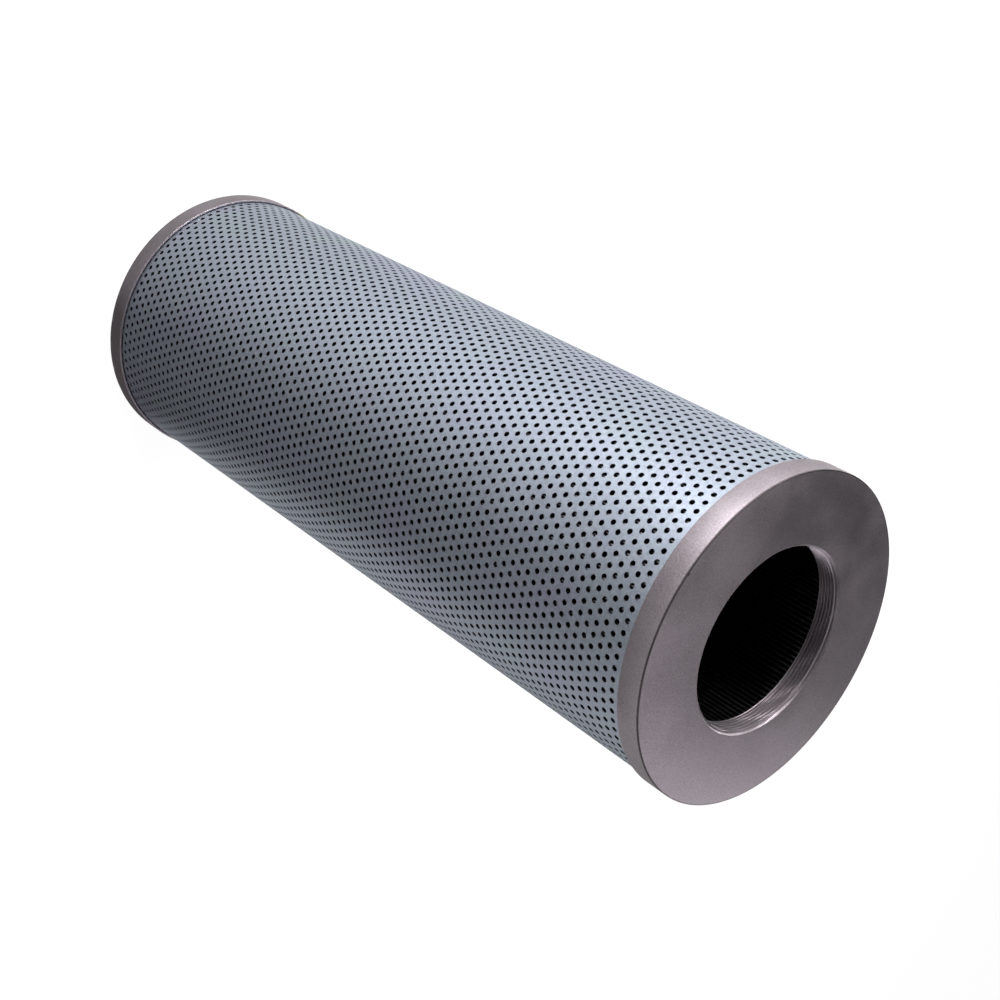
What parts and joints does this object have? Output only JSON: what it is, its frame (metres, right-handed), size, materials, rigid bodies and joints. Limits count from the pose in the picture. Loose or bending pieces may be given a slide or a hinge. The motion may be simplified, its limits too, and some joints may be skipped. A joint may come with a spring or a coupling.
{
  "type": "hydraulic filter",
  "caption": "Round pleated hydraulic filter element: perforated steel outer tube, pleated wire mesh pack, closed end cap and threaded end cap.",
  "frame": {"origin": "centre of the closed end cap's outer face, where the element stands", "axes": "+Z along the element's axis to the threaded end cap, +Y towards the tube's weld seam, +X completes a right-handed frame"},
  "size_m": [0.142, 0.142, 0.3955],
  "materials": {
    "cap_metal": "fine blasted, dull grey with a slight mauve tint",
    "plated_steel": "satin bluish zinc plating",
    "wire_mesh": "plain woven wire",
    "glass_fibre": "matt fibre mat",
    "clip_steel": "satin",
    "resin": "cast resin"
  },
  "bodies": {
    "root": {"threaded_end_cap": "cap_metal", "closed_end_cap": "cap_metal", "outer_tube": "plated_steel", "outer_wire_mesh": "wire_mesh", "filter_media": "glass_fibre", "inner_wire_mesh": "wire_mesh", "pleat_seam_clip": "clip_steel", "top_potting": "resin", "bottom_potting": "resin"}
  },
  "joints": []
}
